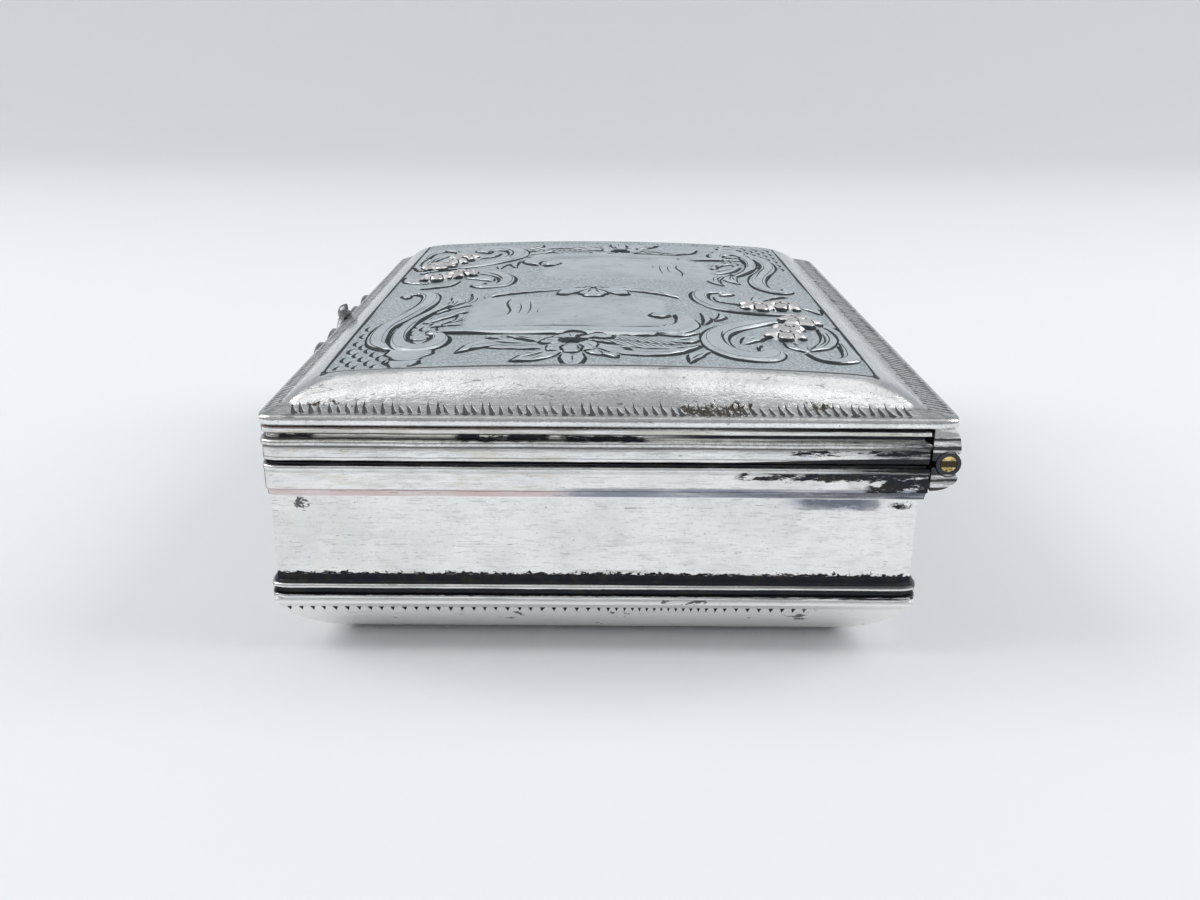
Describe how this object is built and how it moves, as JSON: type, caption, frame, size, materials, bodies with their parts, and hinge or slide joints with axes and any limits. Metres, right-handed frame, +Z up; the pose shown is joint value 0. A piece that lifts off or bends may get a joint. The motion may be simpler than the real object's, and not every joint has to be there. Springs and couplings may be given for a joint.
{
  "type": "snuff box",
  "caption": "Rectangular silver snuff box with a chased, pillowed lid on a long knuckle hinge, moulded rims, a scrolled thumbpiece and a plain wall on a pillowed base.",
  "frame": {"origin": "centre of the plan, on the flat of the base that stands on the table", "axes": "+X along the box and its hinge, towards the end that faces the camera; +Y from the thumbpiece side towards the hinge; +Z up"},
  "size_m": [0.074, 0.0567, 0.0242],
  "materials": {
    "plain_silver": "polished, lightly scratched",
    "chased_silver": "satin, chased",
    "pin_steel": "drawn wire",
    "plug_brass": "worn"
  },
  "bodies": {
    "body": {"base_plate": "plain_silver", "body_wall": "plain_silver", "inner_bezel": "plain_silver", "foot_moulding_front": "plain_silver", "foot_moulding_hinge_side": "plain_silver", "foot_moulding_near_end": "plain_silver", "foot_moulding_far_end": "plain_silver", "mouth_moulding_front": "plain_silver", "mouth_moulding_hinge_side": "plain_silver", "mouth_moulding_near_end": "plain_silver", "mouth_moulding_far_end": "plain_silver", "body_hinge_bearer": "plain_silver", "body_knuckle_1": "plain_silver", "body_knuckle_2": "plain_silver", "body_knuckle_3": "plain_silver", "body_knuckle_4": "plain_silver", "body_knuckle_5": "plain_silver", "hinge_pin": "pin_steel", "pin_plug_near_end": "plug_brass", "pin_plug_far_end": "plug_brass"},
    "lid": {"lid_plate": "chased_silver", "lid_moulding_front": "plain_silver", "lid_moulding_hinge_side": "plain_silver", "lid_moulding_near_end": "plain_silver", "lid_moulding_far_end": "plain_silver", "lid_hinge_bearer": "plain_silver", "lid_knuckle_1": "plain_silver", "lid_knuckle_2": "plain_silver", "lid_knuckle_3": "plain_silver", "lid_knuckle_4": "plain_silver", "thumbpiece": "plain_silver"}
  },
  "joints": [
    {"name": "lid_hinge", "type": "hinge", "parent": "body", "child": "lid", "pos_m": [0, 0.02798, 0.01703], "axis": [-1, 0, 0], "range_deg": [0, 97]}
  ]
}
